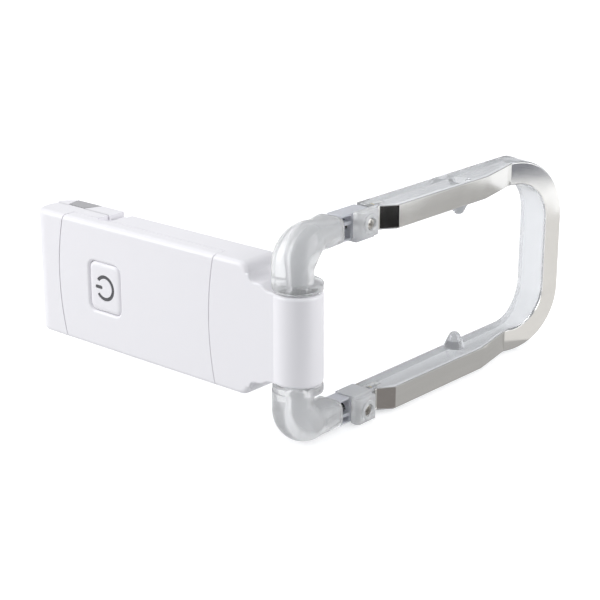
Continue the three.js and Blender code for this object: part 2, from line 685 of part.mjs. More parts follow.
// A 3 mm LED that points along the leg, domed at its tip.
function led(side) {
  const dome = new THREE.SphereGeometry(LED_R, 16, 10);
  dome.translate(LED_X, LED_TIP_Y - LED_R, side * LED_Z);
  return rodY(LED_X, side * LED_Z, LED_R, 18.5, LED_TIP_Y - LED_R, 16).add(toSolid(dome));
}

// A bare wire from the hinge up through the elbow to its LED; offset sets the pair apart.
function ledWire(side, offset) {
  return tube([
    [offset, 0, side * (BARREL_HALF - 4.5)],
    [offset, -0.4, side * (FLANGE_TOP + 0.5)],
    [offset, 0.4, side * 19],
    [offset, 4, side * 22],
    [offset - 0.3, 9, side * 22.8],
    [offset / 1.3 + LED_X, 14, side * LED_Z],
    [offset / 1.3 + LED_X, 18, side * LED_Z],
  ], WIRE_R, { sides: 8, steps: 22 });
}

const WIRE_R = 0.25;
const WIRES = [["plus", 0.7], ["minus", -0.7]];

for (const side of SIDES) {
  const name = SIDE_NAME[side];
  add(`elbow_${name}`, elbow(side), FINISH.clear);
  add(`hinge_bush_${name}`, bush(side), FINISH.frosted);
  add(`led_carrier_${name}`, ledCarrier(side), FINISH.frosted);
  add(`led_cover_${name}`, ledCover(side), FINISH.clear);
  add(`cover_screw_${name}`, coverScrew(side), FINISH.steel);
  add(`led_${name}`, led(side), FINISH.frosted);
  for (const [pole, offset] of WIRES) {
    add(`led_wire_${pole}_${name}`, ledWire(side, offset), FINISH.steel);
  }
}

// Bush between the elbow's spigot and the barrel's bore, whose grip holds the loop where it is put.
function bush(side) {
  const end = BARREL_HALF - SPIGOT_LENGTH;
  return ringZ(SPIGOT_R + GAP, BORE_R - GAP, side * end, side * BARREL_HALF, 24);
}

// Leads from the circuit board past the cells into the barrel, one above the other.
const LEAD_R = 0.45;
const LEADS = [["red", 0.7, FINISH.red], ["black", -0.7, FINISH.black]];

for (const [color, offset, material] of LEADS) {
  const high = offset > 0;
  const z = high ? 12.6 : -12.6;
  add(`hinge_lead_${color}`, tube([
    [-40, -1.6, z], [-34, -2.4, z], [-20, -2.4, z], [-15.4, -1.8, z * 0.6],
    [-15.3, -0.8, offset * 3], [-14, 0, offset * 1.6], [-8, 0, offset * 1.6], [-2.5, 0, offset * 1.6],
  ], LEAD_R, { sides: 8, steps: 24 }), material);
}

export default group;
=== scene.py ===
"""A clip-on LED book light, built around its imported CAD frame."""
import json
import math

import bmesh
import bpy
from mathutils import Matrix, Vector


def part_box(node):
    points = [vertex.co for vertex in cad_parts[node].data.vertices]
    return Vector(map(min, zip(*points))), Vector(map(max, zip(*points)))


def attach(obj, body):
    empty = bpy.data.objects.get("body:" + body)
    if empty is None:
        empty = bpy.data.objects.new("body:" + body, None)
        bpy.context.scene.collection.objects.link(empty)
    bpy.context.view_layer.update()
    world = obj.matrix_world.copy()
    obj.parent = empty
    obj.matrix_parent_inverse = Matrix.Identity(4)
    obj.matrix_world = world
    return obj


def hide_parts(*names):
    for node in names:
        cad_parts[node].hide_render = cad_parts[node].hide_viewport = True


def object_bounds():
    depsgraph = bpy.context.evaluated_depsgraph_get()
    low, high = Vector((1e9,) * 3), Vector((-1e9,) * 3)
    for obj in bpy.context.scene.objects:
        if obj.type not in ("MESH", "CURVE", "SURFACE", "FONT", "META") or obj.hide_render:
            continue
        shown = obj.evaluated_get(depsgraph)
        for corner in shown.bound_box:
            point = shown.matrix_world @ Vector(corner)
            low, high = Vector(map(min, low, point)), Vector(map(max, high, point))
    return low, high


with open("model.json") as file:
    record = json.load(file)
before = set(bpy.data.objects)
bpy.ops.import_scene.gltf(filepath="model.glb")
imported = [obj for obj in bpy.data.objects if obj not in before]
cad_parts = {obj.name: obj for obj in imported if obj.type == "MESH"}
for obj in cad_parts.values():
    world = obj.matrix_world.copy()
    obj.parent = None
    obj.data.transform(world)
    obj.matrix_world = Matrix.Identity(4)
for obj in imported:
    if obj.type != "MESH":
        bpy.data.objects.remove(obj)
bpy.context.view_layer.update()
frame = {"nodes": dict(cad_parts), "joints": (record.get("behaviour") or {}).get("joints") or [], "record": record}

# ---- Sizes, in millimetres from the hinge axis at half the body's height, as in the CAD ----
MM = 0.001
JOINTS = {joint["name"]: joint for joint in frame["joints"]}
HINGE = Vector(JOINTS["loop_hinge"]["pos_m"])
SIDES = {"upper": 1, "lower": -1}


def span(node):
    """A CAD node's lowest and highest corners in the hinge's millimetres."""
    low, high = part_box(node)
    return (low - HINGE) / MM, (high - HINGE) / MM


body_low, body_high = span("rear_housing")
cover_low, cover_high = span("front_cover")
lever_low, lever_high = span("clip_lever")
button_low, button_high = span("power_button")
door_low, door_high = span("battery_door")
pin_low, pin_high = span("clip_pin")

# Battery body: X grows from the nose to the barrel, Y from the front to the rear, Z up the hinge
BODY_HALF = body_high.z
FRONT_Y = cover_low.y
PARTING_Y = cover_high.y
REAR_Y = 6.8
NOSE_X = body_low.x
NOSE_TIP_Y = 0.4
NOSE_CORNER = 1.5
SHOULDER_X = -10.6
SHOULDER_CORNER = 3.2
SHOULDER_FILLET = 1.8
BODY_FILLET = 1.3
SKIN = 1.4
SIDE_WALL = 2.0
EDGE_ROUND = 0.14
LEFT_SEAM = (-76.3, 64)  # X at half height, and radius
RIGHT_SEAM = (-23.6, 74)
SEAM_GAP = 0.2
PARTING_GAP = 0.08
CHANNEL = {"x0": -65.2, "x1": -60.2, "y0": -1.9, "z": 15.3}

# Hinge barrel and neck
BARREL_R = 6.0
BARREL_HALF = 11.1
BORE_R = 4.2
NECK_HALF = 12.3
NECK_END_X = -6.6
NECK_EASE = 0.45

# Spaces in the rear housing
BOARD_BAY = {"x0": -81, "x1": -36.8, "y1": 0.4}
CELL_BAY = {"x0": -37.6, "x1": -14.5}
CELL_WINDOW = {"x0": -36.8, "x1": -15.6, "half": 10.6}
JAW_MOUTH_X = -64
RECESS_X = -65
RECESS_FLOOR_Y = 1.9
PAD_SEAT = {"x0": -82.4, "x1": -67.6, "depth": 1.1, "half": 13.3}
LEAD_WAY = {"x0": -16, "x1": -1, "half_y": 1.6, "half_z": 2.4}

# Grip grooves and ridges: how many, how far apart and how wide
DOOR_GRIPS = (5, 1.3, 0.6)
LIP_GRIPS = (4, 1.2, 0.5)
PAD_GRIPS = (10, 1.25, 0.55)
THUMB_RIDGES = (6, 1.6, 0.7)

# Power button
BUTTON_X = (button_low.x + button_high.x) / 2
BUTTON_RIM = 2  # the hidden rim behind the cap is this much larger than the cap
BUTTON_CORNER = 2
BUTTON_GAP = 0.09
MARK_DEPTH = 0.22
MARK_R = 2.92
MARK_HALF_WIDTH = 0.47

# Screws
SCREW_HEAD_R = 1.5
SCREW_HEAD = 0.9
SCREW_SHANK_R = 0.62
SCREW_SEAT_R = 1.75
SCREW_HOLE_R = 1
SLOT_REACH = 0.92
SLOT_HALF = 0.3
SLOT_DEPTH = 1.25

# Clip
JAW_FACE_Y = 2.4
THUMB_HALF = 11
PIN_X = (pin_low.x + pin_high.x) / 2
PIN_Y = (pin_low.y + pin_high.y) / 2
PIN_HOLE_R = 0.85
PIN_HOLE_HALF = 13.6
KNUCKLE_R = 2
LIP = [(-82, 7.2), (-80.4, 2.7), (-75.2, 2.7), (-72.6, 7.2)]
LIP_POCKET = [(-82.3, 8), (-80.6, 1.7), (-74.8, 1.7), (-72.3, 8)]
WEB = {"x0": -83, "x1": -71, "y0": 4.6, "y1": 6.4, "half": 13}
SPRING_R = 1.25
SPRING_WIRE_R = 0.22
SPRING_TURNS = 7

# Light loop and mirror
LEG_IN = 20
LEG_OUT = 26.3
LEG_START_Y = 23.8
LOOP_BACK_X = -2.8
LOOP_FRONT_X = 12
LOOP_IN_END = 95.2
LOOP_OUT_END = 100.9
LOOP_IN_CORNER = 10.5
LOOP_OUT_CORNER = 16.5
END_LEAN = -0.3
MIRROR_LINE = [(26.6, 2.6), (30.4, 5.5), (66.7, 6.0), (81.5, 3.2), (98.6, 8.7)]  # Y and X
MIRROR_INSET = 0.35
MIRROR_THICK = 0.5
MIRROR_GAP = 0.12
NUB_Y = 62.6
NUB_TIP = 15.9
NUB_LENGTH = 4.6

# Elbows
ELBOW_FOOT_X = -0.3
ELBOW_FOOT_Y = -1.45
ELBOW_FOOT_R = 4.95
ELBOW_BEND = 7.1
ELBOW_BEND_R = 5.8
ELBOW_RISE_Z = 16.6
ELBOW_LEVEL_Z = 22.8
ELBOW_LEVEL_R = 3.85
ELBOW_TIP = Vector((-1, 12.6, 22.8))
ELBOW_TIP_HALF_X = 4.25
ELBOW_TIP_HALF_Z = 3.3
ELBOW_TIP_SQUARENESS = 4.2
ELBOW_WALL = 1.1
LINING = (0.06, 0.3)  # the frosted lining's two skins, inside the wire passage
FLANGE_BASE = BARREL_HALF + 0.3
FLANGE_TOP = 13.3
FLANGE_RIM = 0.4
SPIGOT_R = 3.1
SPIGOT_END = BARREL_HALF - 3.8
PASSAGE_R = 2.1
PASSAGE_FOOT_R = 1.85
PASSAGE_FLARE = 1.9
PASSAGE_OFFSET = 1.45

# LED blocks
CARRIER_IN = 19.7
CARRIER_OUT = 26.3
LEDGE = {"x0": -0.9, "x1": 3, "y0": 12}
LEDGE_GAPS = ((20.2, 3.4), (24.4, 1.3))  # inner edge and height of each gap between the ledges
COVER_START_Y = 16.6
COVER_END_Y = 23.4
COVER_BACK_X = 2.3
COVER_OUT = 26.6
COVER_IN = 20.1
COVER_LIP_IN = 19.3
CARRIER_HOLE_R = 0.8
COVER_HOLE_R = 0.75
BOSS_R = 2.5
BOSS_HEIGHT = 0.45
SCREW_Y = 20.2
SCREW_Z = 23.4
LED_X = -0.6
LED_Z = 23.1
LED_R = 1.45
LED_TIP_Y = 31.5
LED_WIRE_R = 0.13

# Camera: its angles, its distance, how far right of and above the hinge it aims, and its lens
AZIMUTH = math.radians(40.67)
ELEVATION = math.radians(18.67)
DISTANCE = 372.9
AIM_RIGHT = 0.44
AIM_UP = 8.32
LENS = 97.17

# Lights: place and size in metres, and power in watts
SOFTBOXES = {
    "left_light": ((-0.62, -0.7, 0.4), (0.7, 0.8), 7.4),
    "right_light": ((0.8, 0.4, 0.35), (0.6, 0.7), 4.2),
    "top_light": ((-0.1, 0.2, 1.0), (1.2, 1.2), 3.2),
}
LIGHT_TARGET = (0.04, 0.03, 0)
WORLD_STRENGTH = 0.52
FLOOR_GLOW = 0.4
FLOOR_DROP = 0.2

# Cards that only glossy surfaces see, just above the floor: x and y ranges in millimetres, and brightness
CARDS = {
    "card_behind": ((-10, 130), (30, 245), (0.575, 0.57, 0.56)),
    "card_right": ((13, 162), (84, 150), (1.02, 1.0, 0.975)),
    "card_corner": ((178, 260), (110, 220), (0.24, 0.25, 0.29)),
    "card_front": ((55, 300), (-170, 12), (0.02, 0.02, 0.02)),
    "card_near": ((5, 45), (5, 29.5), (0.30, 0.28, 0.27)),
}
CARD_LIFT = 0.05

SQUARE = ((-1, -1), (1, -1), (1, 1), (-1, 1))  # the signs of a square's corners, in turn


# ---- Materials ----
def new_material(name, **values):
    """A Principled material and its node tree; values go on the shader's own sockets."""
    material = bpy.data.materials.new(name)
    material.use_nodes = True
    shader = material.node_tree.nodes["Principled BSDF"]
    for socket, value in values.items():
        shader.inputs[socket.replace("_", " ")].default_value = value
    return material, material.node_tree, shader


def noise(tree, scale, detail=3.0, stretch=(1, 1, 1)):
    """Noise over the object's own coordinates; scale is in features per metre."""
    place = tree.nodes.new("ShaderNodeTexCoord")
    mapping = tree.nodes.new("ShaderNodeMapping")
    mapping.inputs["Scale"].default_value = stretch
    texture = tree.nodes.new("ShaderNodeTexNoise")
    texture.inputs["Scale"].default_value = scale
    texture.inputs["Detail"].default_value = detail
    tree.links.new(place.outputs["Object"], mapping.inputs["Vector"])
    tree.links.new(mapping.outputs["Vector"], texture.inputs["Vector"])
    return texture.outputs["Fac"]


def ramp(tree, factor, low, high):
    """Maps the middle of a noise to a range of numbers."""
    node = tree.nodes.new("ShaderNodeMapRange")
    node.inputs["From Min"].default_value = 0.3
    node.inputs["From Max"].default_value = 0.7
    node.inputs["To Min"].default_value = low
    node.inputs["To Max"].default_value = high
    tree.links.new(factor, node.inputs["Value"])
    return node.outputs["Result"]


def tint(tree, factor, first, second):
    """Mixes two colours by a noise."""
    node = tree.nodes.new("ShaderNodeMix")
    node.data_type = "RGBA"
    node.inputs["A"].default_value = (*first, 1)
    node.inputs["B"].default_value = (*second, 1)
    tree.links.new(factor, node.inputs["Factor"])
    return node.outputs["Result"]


def bump(tree, shader, height, strength, distance):
    """Bumps a shader's surface by a noise; distance is in metres."""
    node = tree.nodes.new("ShaderNodeBump")
    node.inputs["Strength"].default_value = strength
    node.inputs["Distance"].default_value = distance
    tree.links.new(height, node.inputs["Height"])
    tree.links.new(node.outputs["Normal"], shader.inputs["Normal"])


def moulded(name, color, rough, grain=0.02, spread=0.015, **values):
    """Moulded plastic: slight mottling, uneven gloss and a very fine grain."""
    material, tree, shader = new_material(name, **values)
    mottle = noise(tree, scale=90)
    lighter = tuple(min(1, c + spread) for c in color)
    tree.links.new(tint(tree, mottle, color, lighter), shader.inputs["Base Color"])
    gloss = ramp(tree, noise(tree, scale=260), rough - 0.05, rough + 0.05)
    tree.links.new(gloss, shader.inputs["Roughness"])
    if grain:
        bump(tree, shader, noise(tree, scale=4200, detail=2), grain, distance=0.00002)
    return material


def white_plastic():
    return moulded("white_plastic", (0.865, 0.852, 0.885), 0.34, grain=0, spread=0.008, IOR=1.5)


def clear_acrylic(name, clarity, rough, shade=(0.72, 0.73, 0.75)):
    """Moulded acrylic, a little hazy, with faint flow lines."""
    material, tree, shader = new_material(name, Transmission_Weight=clarity, IOR=1.45)
    lighter = tuple(c + 0.04 for c in shade)
    tree.links.new(tint(tree, noise(tree, scale=70), shade, lighter), shader.inputs["Base Color"])
    tree.links.new(ramp(tree, noise(tree, scale=120), rough, rough + 0.06), shader.inputs["Roughness"])
    flow = noise(tree, scale=160, detail=2, stretch=(1, 0.25, 1))
    bump(tree, shader, flow, strength=0.12, distance=0.0004)
    return material


def mirror_film():
    """Satin silver film: drawn streaks along the leg and a little unevenness."""
    material, tree, shader = new_material("mirror_film", Metallic=1, Anisotropic=0.4)
    streak = noise(tree, scale=500, stretch=(1, 0.06, 1))
    silver = tint(tree, streak, (0.64, 0.635, 0.622), (0.70, 0.695, 0.682))
    tree.links.new(silver, shader.inputs["Base Color"])
    tree.links.new(ramp(tree, noise(tree, scale=150), 0.10, 0.15), shader.inputs["Roughness"])
    bump(tree, shader, noise(tree, scale=45, detail=2), strength=0.02, distance=0.0006)
    return material


def plated(name, color, rough=0.3):
    """Plated metal with fine turning marks."""
    material, tree, shader = new_material(name, Metallic=1)
    darker = tuple(c * 0.86 for c in color)
    tree.links.new(tint(tree, noise(tree, scale=700), darker, color), shader.inputs["Base Color"])
    wear = ramp(tree, noise(tree, scale=900), rough - 0.08, rough + 0.1)
    tree.links.new(wear, shader.inputs["Roughness"])
    marks = noise(tree, scale=3000, detail=2, stretch=(1, 1, 0.2))
    bump(tree, shader, marks, strength=0.15, distance=0.00003)
    return material


def soft_rubber():
    return moulded("soft_rubber", (0.40, 0.395, 0.41), 0.72, grain=0.25, spread=0.03)


def epoxy_lens():
    """An LED's clear, slightly warm resin."""
    material, tree, shader = new_material(
        "epoxy_lens", Base_Color=(0.97, 0.97, 0.93, 1), Transmission_Weight=1, IOR=1.52)
    tree.links.new(ramp(tree, noise(tree, scale=300), 0.03, 0.10), shader.inputs["Roughness"])
    return material


WHITE = white_plastic()
CLEAR = clear_acrylic("clear_acrylic", 0.78, 0.1)
HAZY = clear_acrylic("hazy_acrylic", 0.74, 0.16, (0.88, 0.885, 0.895))
MILKY = clear_acrylic("milky_acrylic", 0.6, 0.1, (0.93, 0.935, 0.945))
CORE = moulded("frosted_core", (0.93, 0.935, 0.95), 0.5, Transmission_Weight=0.3)
TRAY = moulded("tray_plastic", (0.70, 0.71, 0.76), 0.4, Transmission_Weight=0.3)
FINISHES = {
    "white_shell": WHITE,
    "clear_acrylic": CLEAR,
    "frosted_plastic": moulded("frosted_plastic", (0.80, 0.80, 0.82), 0.4, Transmission_Weight=0.2),
    "mirror_film": mirror_film(),
    "grip_rubber": soft_rubber(),
    "steel": plated("nickel_steel", (0.56, 0.545, 0.52)),
    "contact_brass": plated("contact_brass", (0.78, 0.66, 0.38)),
    "circuit_board": moulded("solder_mask", (0.02, 0.16, 0.06), 0.4, spread=0.02),
    "black_plastic": moulded("black_plastic", (0.015, 0.015, 0.016), 0.45),
    "led_epoxy": epoxy_lens(),
    "red_insulation": moulded("red_insulation", (0.55, 0.015, 0.03), 0.45),
    "black_insulation": moulded("black_insulation", (0.02, 0.02, 0.022), 0.45),
    "tinned_wire": plated("tinned_wire", (0.80, 0.80, 0.79), 0.35),
}
PHOSPHOR = moulded("phosphor", (0.85, 0.62, 0.08), 0.5)
ICON = moulded("icon_ink", (0.055, 0.055, 0.062), 0.5)
NODE_SLOT = {row["node"]: row["material_slot"] for row in frame["record"]["subparts"]}


# ---- Mesh tools; all of them work in the hinge's millimetres ----
def to_object(bm, name):
    """Turns a mesh in the making into an object of the scene."""
    bmesh.ops.recalc_face_normals(bm, faces=bm.faces)
    mesh = bpy.data.meshes.new(name)
    bm.to_mesh(mesh)
    bm.free()
    piece = bpy.data.objects.new(name, mesh)
    bpy.context.scene.collection.objects.link(piece)
    return piece


def loft(rings, name="loft", closed=False):
    """Skins rings of equal length; open lofts get flat end caps."""
    bm = bmesh.new()
    loops = [[bm.verts.new(p) for p in ring] for ring in rings]
    pairs = list(zip(loops, loops[1:]))
    if closed:
        pairs.append((loops[-1], loops[0]))
    for first, second in pairs:
        count = len(first)
        for i in range(count):
            j = (i + 1) % count
            bm.faces.new((first[i], first[j], second[j], second[i]))
    if not closed:
        bm.faces.new(loops[0][::-1])
        bm.faces.new(loops[-1])
    return to_object(bm, name)


def box(x0, x1, y0, y1, z0, z1, fillet=0.0):
    """A box whose edges may be rounded; its two Z values may come in either order."""
    z0, z1 = min(z0, z1), max(z0, z1)
    bm = bmesh.new()
    bmesh.ops.create_cube(bm, size=1)
    for vert in bm.verts:
        vert.co = Vector((x0 + (vert.co.x + 0.5) * (x1 - x0), y0 + (vert.co.y + 0.5) * (y1 - y0),
                          z0 + (vert.co.z + 0.5) * (z1 - z0)))
    if fillet:
        bmesh.ops.bevel(bm, geom=bm.edges[:], offset=fillet, segments=3, profile=0.5, affect="EDGES")
    return to_object(bm, "box")


AXES = {
    "x": lambda u, v, w: Vector((w, u, v)),
    "y": lambda u, v, w: Vector((u, w, v)),
    "z": lambda u, v, w: Vector((u, v, w)),
}


def prism(outline, axis, low, high):
    """An outline in the plane across an axis, between two places along it."""
    turn = AXES[axis]
    return loft([[turn(u, v, w) for u, v in outline] for w in (low, high)], "prism")


def turned(profile, axis, at=(0, 0), sides=48):
    """A profile of (radius, height) turned about an axis; it starts and ends on that axis."""
    turn = AXES[axis]
    bm = bmesh.new()
    ends = [bm.verts.new(turn(*at, profile[k][1])) for k in (0, -1)]
    rings = []
    for radius, height in profile[1:-1]:
        ring = []
        for i in range(sides):
            angle = 2 * math.pi * i / sides
            u = at[0] + radius * math.cos(angle)
            v = at[1] + radius * math.sin(angle)
            ring.append(bm.verts.new(turn(u, v, height)))
        rings.append(ring)
    for first, second in zip(rings, rings[1:]):
        for i in range(sides):
            j = (i + 1) % sides
            bm.faces.new((first[i], first[j], second[j], second[i]))
    for end, ring in ((ends[0], rings[0]), (ends[1], rings[-1])):
        for i in range(sides):
            bm.faces.new((end, ring[(i + 1) % sides], ring[i]))
    return to_object(bm, "turned")


def rod(axis, at, radius, low, high, fillet=0.0, sides=48):
    """A round rod whose two rims may be rounded."""
    steps = 5 if fillet else 1
    profile = [(0, low)]
    for k in range(steps):
        turn = math.pi / 2 * (k / max(steps - 1, 1))
        reach = radius - fillet + fillet * math.sin(turn)
        profile.append((reach, low + fillet - fillet * math.cos(turn)))
    for reach, height in reversed(profile[1:]):
        profile.append((reach, high - (height - low)))
    profile.append((0, high))
    return turned(profile, axis, at, sides)


def rounded_rect(cx, cy, width, height, radius, left_radius=None, steps=6):
    """Rounded corners, which may have another radius on the left."""
    points = []
    for sx, sy, start in ((1, -1, -90), (1, 1, 0), (-1, 1, 90), (-1, -1, 180)):
        corner = left_radius if sx < 0 and left_radius else radius
        for k in range(steps + 1):
            angle = math.radians(start + 90 * k / steps)
            points.append((cx + sx * (width / 2 - corner) + corner * math.cos(angle),
                           cy + sy * (height / 2 - corner) + corner * math.sin(angle)))
    return points


def quadratic(a, b, c, t):
    """A place on the curve from a to c that b pulls towards itself."""
    return (1 - t) ** 2 * a + 2 * t * (1 - t) * b + t * t * c


def combine(piece, tools, operation="DIFFERENCE"):
    """Cuts tools from a piece or joins them to it, and removes the tools."""
    for tool in tools:
        modifier = piece.modifiers.new("combine", "BOOLEAN")
        modifier.operation = operation
        modifier.solver = "MANIFOLD"
        modifier.object = tool
    settle(piece)
    for tool in tools:
        bpy.data.objects.remove(tool)
    return piece


def settle(piece):
    """Applies a piece's modifiers to its mesh."""
    bpy.context.view_layer.update()
    graph = bpy.context.evaluated_depsgraph_get()
    mesh = bpy.data.meshes.new_from_object(piece.evaluated_get(graph), depsgraph=graph)
    piece.modifiers.clear()
    old = piece.data
    piece.data = mesh
    bpy.data.meshes.remove(old)


def clean(piece, angle=0.4):
    """Merges flat triangles so that edge rounding has whole faces to work on."""
    bm = bmesh.new()
    bm.from_mesh(piece.data)
    bmesh.ops.remove_doubles(bm, verts=bm.verts, dist=0.003)
    bmesh.ops.dissolve_limit(bm, angle_limit=math.radians(angle), verts=bm.verts, edges=bm.edges)
    bm.to_mesh(piece.data)
    bm.free()


def ease(piece, width, segments=2, angle=32):
    """Rounds every sharp edge a little."""
    clean(piece)
    modifier = piece.modifiers.new("ease", "BEVEL")
    modifier.width = width
    modifier.segments = segments
    modifier.limit_method = "ANGLE"
    modifier.angle_limit = math.radians(angle)
    settle(piece)
    return piece


def place(piece, name, node, finish=None, extra=False, smooth=35):
    """Names a finished piece, moves it from millimetres to the frame, and stands it for its CAD node.

    An extra piece only adds detail to a node that another piece stands for."""
    piece.name = name
    piece.data.name = name
    piece.data.transform(Matrix.Translation(HINGE) @ Matrix.Scale(MM, 4))
    piece.data.shade_smooth()
    piece.data.set_sharp_from_angle(angle=math.radians(smooth))
    weighted = piece.modifiers.new("weighted", "WEIGHTED_NORMAL")
    weighted.keep_sharp = True
    weighted.weight = 80
    piece.data.materials.clear()
    piece.data.materials.append(finish or FINISHES[NODE_SLOT[node]])
    owner = next(b for b, members in frame["record"]["behaviour"]["bodies"].items() if node in members)
    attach(piece, owner)
    if not extra:
        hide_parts(node)
    return piece


# ---- Battery body; a tool that cuts runs a millimetre or two past the surface that it opens ----
def seam_x(seam, z):
    """The X of a bowed seam at a height."""
    x, radius = seam
    return x + radius - math.sqrt(radius * radius - z * z)


def cover_outline(grow):
    """The front cover between its two seams, running on past the body's top and bottom."""
    half = BODY_HALF + 2
    steps = 24
    heights = [half - 2 * half * k / steps for k in range(steps + 1)]
    left = [(seam_x(LEFT_SEAM, z) - grow, z) for z in heights]
    right = [(seam_x(RIGHT_SEAM, -z) + grow, -z) for z in heights]
    return left + right


def nose_x(y):
    """The rounded left end, from above: two curves that meet at its tip."""
    tip = (NOSE_X, NOSE_TIP_Y)
    front = ((NOSE_X + 3.4, FRONT_Y), (NOSE_X, FRONT_Y + 1), tip)
    rear = (tip, (NOSE_X + 0.6, 4.4), (NOSE_X + 5, REAR_Y))
    xs, ys = zip(*(front if y <= NOSE_TIP_Y else rear))
    low, high = 0.0, 1.0
    for _ in range(30):
        t = (low + high) / 2
        low, high = (t, high) if quadratic(*ys, t) < y else (low, t)
    return quadratic(*xs, t)


def body_blank():
    """The body's outer skin with rounded front and rear rims, as a stack of outlines along Y."""
    steps = 6
    rim = [math.pi / 2 * k / steps for k in range(steps + 1)]
    front = [(FRONT_Y + BODY_FILLET * (1 - math.cos(a)), BODY_FILLET * (1 - math.sin(a))) for a in rim]
    middle = [(y, 0) for y in (-2.6, -1.2, NOSE_TIP_Y, 2, 3.4, 4.6)]
    rear = [(REAR_Y + FRONT_Y - y, inset) for y, inset in reversed(front)]
    rings = []
    for y, inset in front + middle + rear:
        x0 = nose_x(y) + inset
        x1 = SHOULDER_X - inset
        outline = rounded_rect((x0 + x1) / 2, 0, x1 - x0, 2 * (BODY_HALF - inset),
                               SHOULDER_CORNER - inset * 0.6, NOSE_CORNER - inset * 0.6)
        rings.append([Vector((u, y, v)) for u, v in outline])
    return loft(rings, "blank")


def neck_outline():
    """The neck from the front: a hollow under the shoulder, then an easy slope down to the barrel."""
    r = SHOULDER_FILLET
    hollow = [(SHOULDER_X + r - r * math.cos(a), NECK_HALF + r - r * math.sin(a))
              for a in (math.radians(15 * k) for k in range(7))]
    start, length, end_half = NECK_END_X - 1.2, 3.4, BARREL_HALF - 0.02
    slope = []
    for k in range(9):
        t = k / 8
        eased = t * t * (3 - 2 * t)
        slope.append((start + length * t, NECK_HALF + (end_half - NECK_HALF) * eased))
    top = [(SHOULDER_X - 4, NECK_HALF + r)] + hollow + slope + [(0.4, end_half)]
    return top + [(x, -z) for x, z in reversed(top)]


def hinge_stock():
    """The neck, and the barrel that the loop turns on."""
    neck = prism(neck_outline(), "y", FRONT_Y + 0.01, BARREL_R - 0.02)
    barrel = rod("z", (0, 0), BARREL_R, -BARREL_HALF, BARREL_HALF, fillet=0.9, sides=96)
    return [ease(neck, NECK_EASE, segments=3, angle=50), barrel]


def nub_channels():
    """Cuts in the top and bottom edges that take the loop's nubs when it is folded."""
    return [box(CHANNEL["x0"], CHANNEL["x1"], CHANNEL["y0"], REAR_Y + 2,
                side * CHANNEL["z"], side * (BODY_HALF + 2)) for side in SIDES.values()]


def button_outline(grow):
    """The button's cap from the front, grown all round."""
    width = button_high.x - button_low.x - BUTTON_RIM
    height = button_high.z - button_low.z - BUTTON_RIM
    return rounded_rect(BUTTON_X, 0, width + 2 * grow, height + 2 * grow, BUTTON_CORNER + grow, steps=8)


def button_stack(levels, name):
    """A stack of button outlines, each at a Y and grown by an amount."""
    return loft([[Vector((u, y, v)) for u, v in button_outline(grow)] for y, grow in levels], name)


def button_dish():
    """The cover's soft slope down to the button, as depths and how far it stands out round the cap."""
    slope = ((-0.3, 0.95), (0, 0.75), (0.1, 0.45), (0.32, 0.15), (0.6, -0.05))
    return button_stack([(FRONT_Y + depth, BUTTON_GAP + grow) for depth, grow in slope], "dish")


def front_cover():
    """The shell between the seams, open behind, with the button's window."""
    inner = BODY_HALF - SIDE_WALL
    piece = combine(body_blank(), [prism(cover_outline(0), "y", FRONT_Y - 2, PARTING_Y)], "INTERSECT")
    cavity = box(NOSE_X, 0, FRONT_Y + SKIN, PARTING_Y + 1, -inner, inner)
    window = prism(button_outline(BUTTON_GAP), "y", FRONT_Y - 2, PARTING_Y)
    combine(piece, [cavity, window, button_dish()] + nub_channels())
    return place(ease(piece, EDGE_ROUND, segments=3), "front_cover_shell", "front_cover")


def screw_place(node):
    """Where a screw along Y stands, in X and Z."""
    low, high = span(node)
    return (low.x + high.x) / 2, (low.z + high.z) / 2


def rear_housing():
    """The main shell, with its barrel and everything that is cut out of it."""
    inner = BODY_HALF - SIDE_WALL
    piece = combine(body_blank(), hinge_stock(), "UNION")
    cuts = [
        prism(cover_outline(SEAM_GAP), "y", FRONT_Y - 2, PARTING_Y + PARTING_GAP),
        box(BOARD_BAY["x0"], BOARD_BAY["x1"], FRONT_Y + SKIN, BOARD_BAY["y1"], -inner, inner),
        box(CELL_BAY["x0"], CELL_BAY["x1"], FRONT_Y + SKIN, REAR_Y - 2 * SKIN, -inner, inner),
        box(door_low.x - SEAM_GAP, door_high.x + SEAM_GAP, door_low.y - 0.3, REAR_Y + 1,
            door_low.z - SEAM_GAP, door_high.z + SEAM_GAP, fillet=0.4),
        box(CELL_WINDOW["x0"], CELL_WINDOW["x1"], 0, REAR_Y, -CELL_WINDOW["half"], CELL_WINDOW["half"]),
        box(NOSE_X - 1, JAW_MOUTH_X, JAW_FACE_Y, REAR_Y + 2, -BODY_HALF - 1, BODY_HALF + 1),
        box(RECESS_X, lever_high.x + 0.6, RECESS_FLOOR_Y, REAR_Y + 1, -THUMB_HALF - 0.3, THUMB_HALF + 0.3),
        box(PAD_SEAT["x0"], PAD_SEAT["x1"], JAW_FACE_Y - PAD_SEAT["depth"], JAW_FACE_Y + 1,
            -PAD_SEAT["half"], PAD_SEAT["half"]),
        rod("z", (0, 0), BORE_R, -BARREL_HALF - 1, BARREL_HALF + 1, sides=64),
        rod("z", (PIN_X, PIN_Y), PIN_HOLE_R, -PIN_HOLE_HALF, PIN_HOLE_HALF, sides=24),
        box(LEAD_WAY["x0"], LEAD_WAY["x1"], -LEAD_WAY["half_y"], LEAD_WAY["half_y"],
            -LEAD_WAY["half_z"], LEAD_WAY["half_z"]),
    ]
    for node in ("housing_screw_upper", "housing_screw_lower"):
        at = screw_place(node)
        cuts.append(rod("y", at, SCREW_SEAT_R, REAR_Y - 2.2, REAR_Y + 1, sides=32))
        cuts.append(rod("y", at, SCREW_HOLE_R, -2, REAR_Y, sides=20))
    combine(piece, cuts + nub_channels())
    return place(ease(piece, EDGE_ROUND, segments=3), "rear_housing_shell", "rear_housing")


